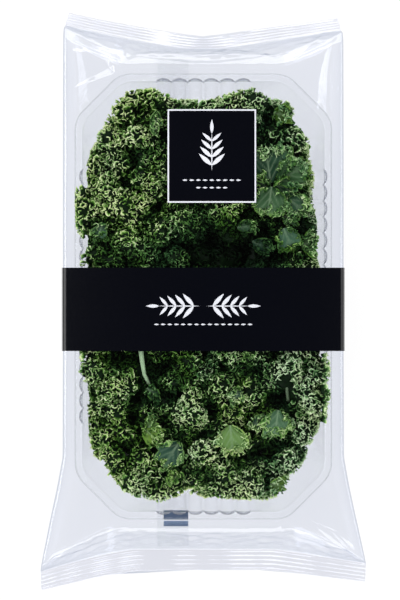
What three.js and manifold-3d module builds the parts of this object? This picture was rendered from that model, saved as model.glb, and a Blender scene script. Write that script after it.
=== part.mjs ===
// A retail pack of curly kale: loose leaves laid in a clear thermoformed tray, sealed in a
// tubular flow-wrap film with a black band label and a square front label.
// Millimetres. +Z is up, +Y runs from the foot seal to the head seal, +X is right seen from above.
// The origin lies on the resting surface, under the middle of the pack's bounding box.
import * as THREE from "three";
import { mergeVertices } from "three/addons/utils/BufferGeometryUtils.js";
import Module from "manifold-3d";

const wasm = await Module();
wasm.setup();

// ---- Driving dimensions ------------------------------------------------------------------

const GAP = 0.35; // clearance between pieces that touch

const FILM = {
  wall: 0.6, // thick enough to be a robust solid; the real film is about 0.04
  vent_radius: 3, // punched breathing holes in the underside
  vent_rows: [-70, 76], // y of each pair of holes
  vent_x: 34,
};

const TRAY = {
  centre_y: 2.7,
  rim_half_x: 77.4,
  rim_half_y: 134,
  rim_top: 42.6,
  flange: 4.6, // width of the flat rim around the well
  lip_drop: 3.2, // turned-down outer edge
  wall: 0.7,
  floor_half_x: 58,
  floor_half_y: 115,
  corner: 36, // reach of each corner along both sides, at the rim
  floor_corner: 29,
  panel_rise: 1.8, // the middle of the floor stands up, so that the tray rests on its border
  panel_inset: 9,
  flute_depth: 2.6, // half-round denesting flutes in the walls
  flute_pitch: 11,
  flutes_long: 14,
  flutes_short: 5,
};

const BAND = { y_low: -30, y_high: 20, thickness: 0.4, foot_z: 1.2 };
const FRONT_LABEL = { x_low: -21.4, x_high: 31.6, y_low: 58.8, y_high: 114.8, thickness: 0.4 };

// Leaves lie in four levels. Those that point to the head end have their tips at +y.
const LEAF = {
  thickness: 10, // the depth that the curled blade takes up
  flatten: 0.86, // how much flatter than round the blade lies
  level_z: [8.8, 19.6, 30.4, 41],
  petiole_radius: 2.4,
  cut_radius: 3.1, // the petiole swells towards its cut end
  cup: 1.6, // how far the blade's edges stand above its midrib
  lobes: 5, // pairs of lobes along the blade
  lobe_depth: 0.09,
};
const HEAD = { blade_y: 16, petiole_y: -20 };
const FOOT = { blade_y: -27, petiole_y: 12 };
// [level, end, x of the cut end, x where the blade starts, x and y of the tip, widest width]
const LEAVES = [
  [0, HEAD, -37, -29, -28, 108, 51],
  [0, HEAD, 22, 28, 29, 110, 51],
  [0, FOOT, -20, -28, -29, -104, 51],
  [0, FOOT, 36, 29, 28, -102, 51],
  [1, HEAD, -24, -31, -30.5, 116, 55],
  [1, HEAD, 38, 30.5, 31, 114, 55],
  [1, FOOT, -38, -30.5, -31, -109, 55],
  [1, FOOT, 19, 30.5, 31, -107, 55],
  [2, HEAD, -54, -44.2, -43.8, 109, 39.5],
  [2, HEAD, -9, 0, 0.6, 121, 39.5],
  [2, HEAD, 35, 44, 44.6, 117, 39.5],
  [2, FOOT, -36, -44, -44.6, -97, 39.5],
  [2, FOOT, 9, -0.4, 0.2, -113, 39.5],
  [2, FOOT, 54, 44.4, 44, -105, 39.5],
  [3, HEAD, -20, -35.6, -35.2, 127, 63],
  [3, HEAD, 45, 35.4, 35.2, 125, 63],
  [3, FOOT, -50, -35.4, -35.2, -119, 63],
  [3, FOOT, 8, 35.2, 35.4, -118, 63],
];

// ---- Solids ------------------------------------------------------------------------------

// A closed body through rings of points that all have the same count, capped by a fan at each end.
function skin(rings) {
  const count = rings[0].length;
  const points = rings.flat();
  const faces = [];
  for (let r = 0; r + 1 < rings.length; r++) {
    for (let k = 0; k < count; k++) {
      const a = r * count + k;
      const b = r * count + ((k + 1) % count);
      faces.push(a, b, b + count, a, b + count, a + count);
    }
  }
  const last = (rings.length - 1) * count;
  for (const [start, turn] of [[0, 1], [last, 0]]) {
    const ring = points.slice(start, start + count);
    const middle = ring.reduce((sum, p) => sum.add(p), new THREE.Vector3());
    points.push(middle.divideScalar(count));
    for (let k = 0; k < count; k++) {
      const pair = [start + k, start + ((k + 1) % count)];
      faces.push(points.length - 1, pair[turn], pair[1 - turn]);
    }
  }
  return new THREE.BufferGeometry().setFromPoints(points).setIndex(faces);
}

function solid(geometry) {
  const bare = geometry.clone();
  bare.deleteAttribute("normal");
  bare.deleteAttribute("uv");
  const merged = mergeVertices(bare, 1e-4);
  const mesh = new wasm.Mesh({
    numProp: 3,
    vertProperties: merged.attributes.position.array,
    triVerts: new Uint32Array(merged.index.array),
  });
  return new wasm.Manifold(mesh);
}

function geometryOf(manifold) {
  const mesh = manifold.getMesh();
  return new THREE.BufferGeometry()
    .setAttribute("position", new THREE.BufferAttribute(new Float32Array(mesh.vertProperties), 3))
    .setIndex(new THREE.BufferAttribute(new Uint32Array(mesh.triVerts), 1));
}

function box(low, high) {
  const size = low.map((v, i) => high[i] - v);
  const middle = low.map((v, i) => (v + high[i]) / 2);
  return solid(new THREE.BoxGeometry(...size).translate(...middle));
}

// ---- Film: a tube that lies flat under the tray, bulges at the sides and closes to a fin ------

// Each station is a cross-section: where it lies along the pack, the half widths of the flat
// underside, the bulge and the shoulder, the heights of each, how far its corners reach
// outwards along the pack, and how far its middle droops.
const FILM_STATIONS = [
  { y: -161.6, base: 97, bulge: 98, shoulder: 97, z: [13, 13.5, 14, 14], reach: -11, droop: 0 },
  { y: -147.5, base: 95, bulge: 96, shoulder: 95, z: [13, 13.5, 14, 14], reach: -8, droop: 0 },
  { y: -142, base: 84, bulge: 92, shoulder: 84, z: [7, 14, 26, 28], reach: -5, droop: 0 },
  { y: -136.2, base: 72, bulge: 88, shoulder: 74, z: [1.6, 18, 41.5, 43.4], reach: -1.5, droop: 0 },
  { y: -130, base: 66, bulge: 86, shoulder: 77, z: [0, 21, 43.8, 45.6], reach: 0, droop: 0 },
  { y: -110, base: 63, bulge: 84.4, shoulder: 78.2, z: [0, 23, 44, 47.6], reach: 0, droop: 0 },
  { y: -80, base: 62, bulge: 84, shoulder: 78.4, z: [0, 24, 44, 49], reach: 0, droop: 0 },
  { y: -30, base: 62, bulge: 84, shoulder: 78.4, z: [0, 24, 44, 50], reach: 0, droop: 0 },
  { y: 20, base: 62, bulge: 84, shoulder: 78.4, z: [0, 24, 44, 50], reach: 0, droop: 0 },
  { y: 85, base: 62, bulge: 84, shoulder: 78.4, z: [0, 24, 44, 49], reach: 0, droop: 0 },
  { y: 115, base: 63, bulge: 84, shoulder: 78.2, z: [0, 23, 44, 47.6], reach: 0, droop: 0 },
  { y: 136, base: 66, bulge: 84, shoulder: 77, z: [0, 21, 43.8, 45.6], reach: 0, droop: 0 },
  { y: 142, base: 72, bulge: 84, shoulder: 74, z: [1.6, 18, 41.5, 43.4], reach: 1.5, droop: 0 },
  { y: 147, base: 77, bulge: 84, shoulder: 78, z: [7, 16, 27, 29], reach: 6, droop: 2 },
  { y: 152, base: 81, bulge: 82, shoulder: 81, z: [17, 17.5, 18, 18], reach: 9, droop: 5 },
  { y: 159, base: 80, bulge: 81, shoulder: 80, z: [17, 17.5, 18, 18], reach: 13.6, droop: 14.5 },
];
const SEAL_STATIONS = 2; // stations at each end where both webs are welded together
const SEAL_MOUTH = 0.25; // how far past a seal the webs have parted enough to be hollow
const RING = { base: 6, side: 4, top: 8 }; // segments along each stretch of a cross-section

function filmRing(station, inset) {
  const base = station.base - inset / 2;
  const bulge = station.bulge - inset;
  const shoulder = station.shoulder - inset;
  const [z_base, z_bulge, z_shoulder, z_crown] = station.z;
  const low = z_base + inset;
  const high = z_shoulder - inset;
  const outline = [];
  for (let k = 0; k < RING.base; k++) {
    outline.push([-base + (2 * base * k) / RING.base, low]);
  }
  const quarter = (k) => (k / RING.side) * (Math.PI / 2);
  const right = [];
  for (let k = 0; k < RING.side; k++) {
    const a = quarter(k);
    right.push([base + (bulge - base) * Math.sin(a), z_bulge - (z_bulge - low) * Math.cos(a)]);
  }
  for (let k = 0; k < RING.side; k++) {
    const a = quarter(k);
    right.push([
      shoulder + (bulge - shoulder) * Math.cos(a),
      z_bulge + (high - z_bulge) * Math.sin(a),
    ]);
  }
  outline.push(...right);
  for (let k = 0; k <= RING.top; k++) {
    const x = shoulder * (1 - (2 * k) / RING.top);
    outline.push([x, high + (z_crown - z_shoulder) * (1 - (x / shoulder) ** 2)]);
  }
  outline.push(...right.slice(1).reverse().map(([x, z]) => [-x, z]));
  return outline.map(([x, z]) => {
    const share = (x / station.bulge) ** 2;
    return new THREE.Vector3(
      x,
      station.y + station.reach * share,
      z - station.droop * (1 - share),
    );
  });
}

const filmSolid = (inset, stations) => {
  const rings = stations.map((station) => filmRing(station, inset).reverse());
  return solid(skin(rings));
};

function between(near, far, share) {
  const mix = (a, b) => (Array.isArray(a) ? a.map((v, i) => mix(v, b[i])) : a + (b - a) * share);
  return Object.fromEntries(Object.keys(near).map((key) => [key, mix(near[key], far[key])]));
}

function filmWrap() {
  const [foot_seal, foot_end] = FILM_STATIONS.slice(SEAL_STATIONS - 1);
  const [head_end, head_seal] = FILM_STATIONS.slice(-SEAL_STATIONS - 1);
  const chamber = [
    between(foot_seal, foot_end, SEAL_MOUTH),
    ...FILM_STATIONS.slice(SEAL_STATIONS, -SEAL_STATIONS),
    between(head_seal, head_end, SEAL_MOUTH),
  ];
  let film = filmSolid(0, FILM_STATIONS).subtract(filmSolid(FILM.wall, chamber));
  for (const y of FILM.vent_rows) {
    for (const x of [-FILM.vent_x, FILM.vent_x]) {
      const punch = new THREE.CylinderGeometry(FILM.vent_radius, FILM.vent_radius, 1.6, 12);
      punch.rotateX(Math.PI / 2).translate(x, y, 0.3);
      film = film.subtract(solid(punch));
    }
  }
  return geometryOf(film);
}

// A layer of label stock just outside the film, cut to the given window.
function labelOnFilm(thickness, low, high) {
  const sleeve = filmSolid(-GAP - thickness, FILM_STATIONS).subtract(
    filmSolid(-GAP, FILM_STATIONS),
  );
  return geometryOf(sleeve.intersect(box(low, high)));
}

// ---- Tray --------------------------------------------------------------------------------

const FLUTE_STEPS = 3;
const CORNER_STEPS = 5;

// One level of the tray: a rectangle with corners from round (power 2) to chamfered (power 1).
function trayRing(half_x, half_y, z, { corner = TRAY.corner, power = 2, flute = 0 } = {}) {
  const side = (flutes, across) => {
    const run = (flutes * TRAY.flute_pitch) / 2;
    const points = [];
    for (let k = 0; k <= flutes * FLUTE_STEPS; k++) {
      const swell = flute * Math.abs(Math.sin((Math.PI * k) / FLUTE_STEPS));
      points.push([across + swell, -run + (2 * run * k) / (flutes * FLUTE_STEPS)]);
    }
    return points;
  };
  const bend = [];
  for (let k = 0; k <= CORNER_STEPS; k++) {
    const a = (k / CORNER_STEPS) * (Math.PI / 2);
    bend.push([
      half_x - corner + corner * Math.abs(Math.cos(a)) ** (2 / power),
      half_y - corner + corner * Math.abs(Math.sin(a)) ** (2 / power),
    ]);
  }
  const long = side(TRAY.flutes_long, half_x);
  const short = side(TRAY.flutes_short, half_y).map(([across, along]) => [-along, across]);
  const half = [...long, ...bend, ...short, ...bend.map(([x, y]) => [-x, y]).reverse()];
  const outline = [...half, ...half.map(([x, y]) => [-x, -y])];
  return outline.map(([x, y]) => new THREE.Vector3(x, y + TRAY.centre_y, z));
}

function trayShell() {
  const { wall, rim_top, flange, lip_drop } = TRAY;
  const { floor_half_x, floor_half_y, floor_corner, panel_inset } = TRAY;
  const under = FILM.wall + GAP;
  const floor = under + wall;
  const well_x = TRAY.rim_half_x - flange;
  const well_y = TRAY.rim_half_y - flange;
  const rim = { power: 1.3 };
  const fluted = { flute: TRAY.flute_depth };
  const at = (share, inset, z, shape) =>
    trayRing(
      floor_half_x + (well_x - floor_half_x) * share - inset,
      floor_half_y + (well_y - floor_half_y) * share - inset,
      z,
      { corner: floor_corner + (TRAY.corner - floor_corner) * share - inset, ...shape },
    );
  return skin([
    at(0, panel_inset + 1, under + TRAY.panel_rise),
    at(0, panel_inset, under),
    at(0, 0, under),
    at(0.1, 0, floor + 3.4),
    at(0.2, 0, floor + 8.4, fluted),
    at(0.82, 0, rim_top - 6.2, fluted),
    at(0.95, 0, rim_top - wall - 2.6),
    at(1, 0, rim_top - wall),
    trayRing(TRAY.rim_half_x - wall - 0.8, TRAY.rim_half_y - wall - 0.8, rim_top - wall, rim),
    trayRing(TRAY.rim_half_x - wall, TRAY.rim_half_y - wall, rim_top - lip_drop, rim),
    trayRing(TRAY.rim_half_x, TRAY.rim_half_y, rim_top - lip_drop, rim),
    trayRing(TRAY.rim_half_x - 0.8, TRAY.rim_half_y - 0.8, rim_top, rim),
    at(1, wall, rim_top),
    at(0.95, wall, rim_top - wall - 2),
    at(0.82, wall, rim_top - 5.5, fluted),
    at(0.2, wall, floor + 9, fluted),
    at(0.1, wall, floor + 4),
    at(0, wall + 1.5, floor),
    at(0, panel_inset + wall, floor),
    at(0, panel_inset + wall + 1, floor + TRAY.panel_rise),
  ]);
}

// ---- Leaves: a petiole that widens into a lobed blade ------------------------------------------

const BLADE_STEPS = 14;
const PETIOLE_STEPS = 2;
const LEAF_SIDES = 10;

function leafSolid([level, end, cut_x, blade_x, tip_x, tip_y, width]) {
  const z = LEAF.level_z[level];
  const route = new THREE.CatmullRomCurve3([
    new THREE.Vector3(cut_x, end.petiole_y, z),
    new THREE.Vector3(blade_x, end.blade_y, z),
    new THREE.Vector3((blade_x + tip_x) / 2, (end.blade_y + tip_y) / 2, z + 0.6),
    new THREE.Vector3(tip_x, tip_y, z - 0.6),
  ]);
  const blade_from = 1 / 3; // the route's second point
  const rings = [];
  for (let k = -PETIOLE_STEPS; k <= BLADE_STEPS; k++) {
    const along = k / BLADE_STEPS;
    const t = k < 0 ? (1 + k / PETIOLE_STEPS) * blade_from : blade_from + (1 - blade_from) * along;
    const middle = route.getPoint(t);
    const ahead = Math.sign(end.blade_y - end.petiole_y);
    let half_width = LEAF.petiole_radius;
    let half_depth = LEAF.petiole_radius;
    if (k < 0) {
      const swell = (LEAF.cut_radius - LEAF.petiole_radius) * (-k / PETIOLE_STEPS);
      half_width += swell;
      half_depth += swell;
    } else {
      const fullness = Math.sin(Math.PI * along ** 0.78) ** 0.6;
      const lobe = 1 + LEAF.lobe_depth * Math.cos(2 * Math.PI * LEAF.lobes * along);
      half_width += (width / 2 - LEAF.petiole_radius) * fullness * lobe;
      half_depth += (LEAF.thickness / 2 - LEAF.petiole_radius) * fullness;
    }
    const ring = [];
    for (let side = 0; side < LEAF_SIDES; side++) {
      const a = (2 * Math.PI * side) / LEAF_SIDES;
      const across = ahead * Math.cos(a);
      const cup = k > 0 ? LEAF.cup * across ** 2 * Math.min(1, along * 4) : 0;
      const rise = LEAF.flatten * half_depth * Math.sin(a);
      ring.push(middle.clone().add(new THREE.Vector3(half_width * across, 0, rise + cup / 2)));
    }
    rings.push(ring.reverse());
  }
  return skin(rings);
}

// ---- The pack --------------------------------------------------------------------------------

const CLEAR_TRAY = new THREE.MeshStandardMaterial({
  color: 0xe4e8ee, roughness: 0.12, metalness: 0, transparent: true, opacity: 0.3,
});
const CLEAR_FILM = new THREE.MeshStandardMaterial({
  color: 0xdfe2ee, roughness: 0.08, metalness: 0, transparent: true, opacity: 0.25,
});
const BLACK_LABEL = new THREE.MeshStandardMaterial({ color: 0x101014, roughness: 0.3, metalness: 0 });
const KALE = new THREE.MeshStandardMaterial({ color: 0x3d6b2c, roughness: 0.6, metalness: 0 });

const pack = new THREE.Group();

function add(name, geometry, material) {
  const mesh = new THREE.Mesh(geometry, material);
  mesh.name = name;
  pack.add(mesh);
}

add("tray", trayShell(), CLEAR_TRAY);
add("film_wrap", filmWrap(), CLEAR_FILM);
add(
  "band_label",
  labelOnFilm(BAND.thickness, [-100, BAND.y_low, BAND.foot_z], [100, BAND.y_high, 60]),
  BLACK_LABEL,
);
add(
  "front_label",
  labelOnFilm(
    FRONT_LABEL.thickness,
    [FRONT_LABEL.x_low, FRONT_LABEL.y_low, 30],
    [FRONT_LABEL.x_high, FRONT_LABEL.y_high, 60],
  ),
  BLACK_LABEL,
);
LEAVES.forEach((leaf, k) => {
  const end = leaf[1] === HEAD ? "head" : "foot";
  const number = String(k + 1).padStart(2, "0");
  add(`kale_leaf_${number}_${end}`, leafSolid(leaf), KALE);
});

export default pack;
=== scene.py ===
import math

import bmesh
import bpy
import numpy as np
from mathutils import Euler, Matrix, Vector


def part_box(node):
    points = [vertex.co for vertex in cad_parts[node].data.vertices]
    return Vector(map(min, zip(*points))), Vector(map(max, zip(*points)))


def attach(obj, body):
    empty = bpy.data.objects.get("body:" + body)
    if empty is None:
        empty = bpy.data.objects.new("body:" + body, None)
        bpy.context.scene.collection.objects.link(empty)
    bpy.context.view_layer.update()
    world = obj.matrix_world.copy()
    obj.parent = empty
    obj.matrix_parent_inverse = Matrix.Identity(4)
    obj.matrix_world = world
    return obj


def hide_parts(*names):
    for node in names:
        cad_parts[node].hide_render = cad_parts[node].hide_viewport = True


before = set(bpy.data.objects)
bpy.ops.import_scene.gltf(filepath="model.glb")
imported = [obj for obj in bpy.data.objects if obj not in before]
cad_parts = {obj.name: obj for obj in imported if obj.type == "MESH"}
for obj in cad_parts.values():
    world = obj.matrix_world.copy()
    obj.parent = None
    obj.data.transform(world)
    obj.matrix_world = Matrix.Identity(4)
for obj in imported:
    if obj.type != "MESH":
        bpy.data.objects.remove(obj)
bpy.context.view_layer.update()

# A pack of curly kale: curled leaves in a clear tray, sealed in clear film, with two black
# labels. Working lengths are in millimetres, and MM turns them into the scene's metres.
MM = 0.001
SHARP_EDGE = math.radians(40)
# What varies over a leaf: how pale it is up a curl, with painted shade in the folds, low down and in
# patches and painted light near the tray, nearness to a vein, smoothness of the blade, and how yellow
# and how light its green is.
FACTORS = ("frill", "vein", "blade", "fresh", "light")


def node_box(node):
    """A CAD node's lowest and highest corners, in millimetres."""
    return [np.array(corner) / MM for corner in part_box(node)]


# ---- Small tools ---------------------------------------------------------------------------


def unit(vectors):
    return vectors / np.maximum(np.linalg.norm(vectors, axis=-1, keepdims=True), 1e-9)


def ease(value):
    """A smooth step from 0 to 1."""
    value = np.clip(value, 0, 1)
    return value * value * (3 - 2 * value)


def waves(rng, length, count=28):
    """A smooth random field of one wavelength and unit spread, as a function of points."""
    pull = unit(rng.normal(size=(count, 3))) * (2 * math.pi / length)
    phase = rng.uniform(0, 2 * math.pi, count)
    return lambda points: np.cos(points @ pull.T + phase).sum(axis=1) * math.sqrt(2 / count)


def join(parts):
    """Several (points, quads, factors) meshes as one."""
    points = np.concatenate([part[0] for part in parts])
    table = np.concatenate([part[2] for part in parts])
    starts = np.cumsum([0] + [len(part[0]) for part in parts])
    faces = np.concatenate([part[1] + start for part, start in zip(parts, starts)])
    return points, faces, table


def factors(count, **columns):
    """What the leaf's finish reads at each point: one column for each of FACTORS, 0 if not given."""
    table = np.zeros((count, len(FACTORS)))
    for key, column in columns.items():
        table[:, FACTORS.index(key)] = column
    return table


def make(name, points, faces, materials, table=None, smooth=True, face_material=None):
    """A mesh object in metres from points in millimetres. Faces are arrays of one width each.

    With smooth off, its edges are sharp where they turn by more than SHARP_EDGE.
    """
    faces = faces if isinstance(faces, list) else [faces]
    corners = np.concatenate([block.reshape(-1) for block in faces])
    widths = np.concatenate([np.full(len(block), block.shape[1]) for block in faces])
    mesh = bpy.data.meshes.new(name)
    mesh.vertices.add(len(points))
    mesh.vertices.foreach_set("co", (points * MM).astype(np.float32).reshape(-1))
    mesh.loops.add(len(corners))
    mesh.loops.foreach_set("vertex_index", corners.astype(np.int32))
    mesh.polygons.add(len(widths))
    mesh.polygons.foreach_set("loop_start", (np.cumsum(widths) - widths).astype(np.int32))
    mesh.polygons.foreach_set("loop_total", widths.astype(np.int32))
    for material in materials:
        mesh.materials.append(material)
    if face_material is not None:
        mesh.polygons.foreach_set("material_index", face_material.astype(np.int32))
    mesh.update(calc_edges=True)
    if table is not None:
        for key, column in zip(FACTORS, table.T.astype(np.float32)):
            mesh.attributes.new(key, "FLOAT", "POINT").data.foreach_set("value", column)
    if smooth:
        mesh.shade_smooth()
    else:
        mesh.set_sharp_from_angle(angle=SHARP_EDGE)
    piece = bpy.data.objects.new(name, mesh)
    bpy.context.collection.objects.link(piece)
    return piece


def stand_in(piece, node):
    """Puts a piece in the place of a CAD node, on the pack's one body."""
    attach(piece, "root")
    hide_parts(node)


def strip_faces(rows, columns, wrap=False, start=0):
    """Quads between rows of points, each row an open strip or, with wrap, a closed ring."""
    across = np.arange(columns if wrap else columns - 1)
    beside = (across + 1) % columns
    first = start + np.arange(rows - 1)[:, None] * columns
    quads = [first + across, first + beside, first + beside + columns, first + across + columns]
    return np.stack(quads, axis=-1).reshape(-1, 4)


# ---- Shader tools --------------------------------------------------------------------------


class Socket:
    """Wraps a number-valued output so that Python arithmetic adds Math nodes."""

    def __init__(self, paint, output):
        self.paint = paint
        self.output = output

    def combine(self, operation, first, second):
        node = self.paint.node("ShaderNodeMath", {"operation": operation}, {0: first, 1: second})
        return Socket(self.paint, node.outputs[0])

    def __add__(self, other):
        return self.combine("ADD", self, other)

    __radd__ = __add__

    def __mul__(self, other):
        return self.combine("MULTIPLY", self, other)

    __rmul__ = __mul__

    def __sub__(self, other):
        return self.combine("SUBTRACT", self, other)

    def __rsub__(self, other):
        return self.combine("SUBTRACT", other, self)


class Paint:
    """One material and its nodes."""

    def __init__(self, name):
        self.material = bpy.data.materials.new(name)
        self.material.use_nodes = True
        self.tree = self.material.node_tree
        self.tree.nodes.clear()

    def node(self, kind, settings=None, inputs=None):
        node = self.tree.nodes.new(kind)
        for key, value in (settings or {}).items():
            if key == "stops":
                ramp = node.color_ramp.elements
                while len(ramp) < len(value):
                    ramp.new(0.5)
                for stop, (place, colour) in zip(ramp, value):
                    stop.position = place
                    stop.color = (*colour, 1)
            else:
                setattr(node, key, value)
        for key, value in (inputs or {}).items():
            value = value.output if isinstance(value, Socket) else value
            if isinstance(value, bpy.types.NodeSocket):
                self.tree.links.new(value, node.inputs[key])
            else:
                node.inputs[key].default_value = value
        return node

    def attribute(self, name):
        return Socket(self, self.node("ShaderNodeAttribute", {"attribute_name": name}).outputs["Fac"])

    def noise(self, scale, detail):
        """Cloudy noise over the piece, with its scale in cycles to the metre."""
        place = self.node("ShaderNodeTexCoord").outputs["Object"]
        inputs = {"Vector": place, "Scale": scale, "Detail": detail}
        return Socket(self, self.node("ShaderNodeTexNoise", None, inputs).outputs["Fac"])

    def ramp(self, value, stops):
        return self.node("ShaderNodeValToRGB", {"stops": stops}, {0: value}).outputs[0]

    def mix(self, share, first, second):
        """One colour turning into another, each given as three numbers or as a link."""
        first, second = [(*end, 1) if isinstance(end, tuple) else end for end in (first, second)]
        node = self.node("ShaderNodeMix", {"data_type": "RGBA"}, {0: share, 6: first, 7: second})
        return node.outputs[2]

    def blend(self, share, first, second):
        """One shader turning into another."""
        inputs = {0: share, 1: first.outputs[0], 2: second.outputs[0]}
        return self.node("ShaderNodeMixShader", None, inputs)

    def bump(self, height, distance, strength):
        inputs = {"Height": height, "Distance": distance, "Strength": strength}
        return self.node("ShaderNodeBump", None, inputs).outputs[0]

    def finish(self, shader):
        self.node("ShaderNodeOutputMaterial", None, {"Surface": shader.outputs[0]})
        return self.material


# ---- Finishes ------------------------------------------------------------------------------


# The curl greens go from near black at the foot, which is painted shade, to pale at the edge, which is
# partly the paler margin and partly a painted highlight.
CURL_STOPS = (0.0, 0.34, 0.58, 0.76, 0.96)  # heights up a curl where it reaches each of its greens
COOL_GREENS = [
    (0.0008, 0.003, 0.001),
    (0.010, 0.038, 0.012),
    (0.064, 0.166, 0.053),
    (0.225, 0.40, 0.155),
    (0.78, 0.95, 0.58),
]
FRESH_GREENS = [
    (0.0008, 0.003, 0.0008),
    (0.0165, 0.055, 0.006),
    (0.084, 0.205, 0.024),
    (0.30, 0.50, 0.115),
    (0.91, 1.0, 0.50),
]
STEM_GREEN = (0.30, 0.42, 0.24)
LEAF_GLOW = (0.16, 0.30, 0.05)  # light that comes through a leaf


def kale_finish():
    """Curled leaf: near black in the folds as painted shade, light along the frilled edge partly as a
    painted highlight, pale on veins and stems.
    """
    paint = Paint("kale_leaf")
    frill, vein, blade, fresh, light = [paint.attribute(name) for name in FACTORS]
    fleck = paint.noise(420, 2.0)
    cloud = paint.noise(110, 3.0)
    edge = frill + (fleck - 0.5) * 0.12
    cool_curl, fresh_curl = [
        paint.ramp(edge, list(zip(CURL_STOPS, greens))) for greens in (COOL_GREENS, FRESH_GREENS)
    ]
    curl = paint.mix(fresh, cool_curl, fresh_curl)
    # The light factor, which holds painted shade towards a fan's base and in patches, picks between the
    # blade's darker and lighter green.
    dark_blade = paint.mix(fresh, (0.008, 0.032, 0.018), (0.030, 0.080, 0.006))
    light_blade = paint.mix(fresh, (0.085, 0.18, 0.115), (0.16, 0.28, 0.045))
    flat = paint.mix(light + (cloud - 0.5) * 0.5, dark_blade, light_blade)
    leaf_green = paint.mix(blade, curl, flat)
    leaf = paint.node(
        "ShaderNodeBsdfPrincipled",
        None,
        {
            "Base Color": paint.mix(vein, leaf_green, STEM_GREEN),
            "Roughness": 0.5,
            "Specular IOR Level": 0.05,
            "Normal": paint.bump(fleck, 0.0004, 0.4),
        },
    )
    glow = paint.node("ShaderNodeBsdfTranslucent", None, {"Color": (*LEAF_GLOW, 1)})
    return paint.finish(paint.blend(edge * edge * 0.22, leaf, glow))


def clear_finish(name, tint, roughness, edge_tint, sharpness, gloss_share=0.04):
    """Thin clear plastic with a gloss: light goes straight through, tinted more where it's seen edge-on.

    The higher the sharpness, the nearer to edge-on that second tint starts.
    """
    grazing_gloss = 0.3
    paint = Paint(name)
    facing = Socket(paint, paint.node("ShaderNodeLayerWeight", None, {"Blend": 0.5}).outputs["Facing"])
    steep = facing * facing
    slanted = steep
    for _ in range(sharpness - 1):
        slanted = slanted * steep
    thin = paint.node("ShaderNodeBsdfTransparent", None, {"Color": (*tint, 1)})
    slant = paint.node("ShaderNodeBsdfTransparent", None, {"Color": (*edge_tint, 1)})
    gloss = paint.node("ShaderNodeBsdfAnisotropic", None, {"Color": (1, 1, 1, 1), "Roughness": roughness})
    share = steep * steep * facing * grazing_gloss + gloss_share
    return paint.finish(paint.blend(share, paint.blend(slanted, thin, slant), gloss))


def label_finish(name, colour, roughness):
    """Printed label stock with a faint unevenness in its tone and its gloss."""
    paint = Paint(name)
    grain = paint.noise(900, 3.0)
    cloud = paint.noise(18, 2.0)
    stock = paint.node(
        "ShaderNodeBsdfPrincipled",
        None,
        {
            "Base Color": paint.mix(cloud, colour, tuple(part * 1.35 for part in colour)),
            "Roughness": grain * 0.12 + roughness,
            "Specular IOR Level": 0.25,
            "Normal": paint.bump(cloud, 0.0004, 0.3),
        },
    )
    return paint.finish(stock)


FILM_EDGE = (0.68, 0.71, 0.78)
TRAY_TINT = (0.998, 1.0, 1.0)
TRAY_GLOSS = 0.018
KALE = kale_finish()
FILM = clear_finish("wrap_film", (0.912, 0.924, 0.960), 0.06, FILM_EDGE, 1)
SEAL = clear_finish("wrap_seal", (0.888, 0.896, 0.934), 0.06, FILM_EDGE, 1)
BACK_SEAL = clear_finish("back_seal", (0.985, 0.987, 0.993), 0.1, (0.9, 0.9, 0.93), 2)
TRAY = clear_finish("tray_sheet", TRAY_TINT, 0.08, (0.10, 0.12, 0.15), 3, TRAY_GLOSS)
TRAY_WALL = clear_finish("tray_wall", TRAY_TINT, 0.08, (0.42, 0.44, 0.48), 3, TRAY_GLOSS)
BLACK = label_finish("label_black", (0.0012, 0.0014, 0.0028), 0.14)
WHITE = label_finish("label_white", (0.46, 0.47, 0.51), 0.4)
INK = label_finish("mark_ink", (0.090, 0.125, 0.20), 0.4)
PALE_INK = label_finish("mark_pale_ink", (0.21, 0.27, 0.41), 0.4)

# ---- The tray's well, which the leaves have to stay inside ---------------------------------

TRAY_LOW, TRAY_HIGH = node_box("tray")
FILM_TOP = node_box("film_wrap")[1][2]
TRAY_MIDDLE = (TRAY_LOW + TRAY_HIGH) / 2
RIM_HALF_X, RIM_HALF_Y = (TRAY_HIGH - TRAY_LOW)[:2] / 2
RIM_TOP = TRAY_HIGH[2]
TRAY_FLOOR = TRAY_LOW[2]
SHEET = 0.5  # thickness of the tray's sheet
RIM = 4.6  # width of its rim
FLOOR_HALF_X, FLOOR_HALF_Y = RIM_HALF_X - 19.4, RIM_HALF_Y - 19
RIM_CUT, FLOOR_CUT = 27.0, 25.0  # how much of each corner is cut off


def well_half(z):
    """Half widths of the inside of the tray at a height."""
    share = np.clip((z - TRAY_FLOOR) / (RIM_TOP - TRAY_FLOOR), 0, 1)
    half_x = FLOOR_HALF_X + (RIM_HALF_X - RIM - FLOOR_HALF_X) * share
    half_y = FLOOR_HALF_Y + (RIM_HALF_Y - RIM - FLOOR_HALF_Y) * share
    return half_x, half_y


# ---- Film ----------------------------------------------------------------------------------

CROWN = FILM_TOP - 0.4  # the top of the film, under the labels
FOOT_SEAL = (-163.5, -150.8)  # outer and inner edge of the foot seal
HEAD_SEAL = (153.6, 161.6)  # inner and outer edge of the head seal
SEAL_RIBS = 5
SKEW = {"foot": -2.6, "head": 1.6}  # how much further the left corner of each end reaches

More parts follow.
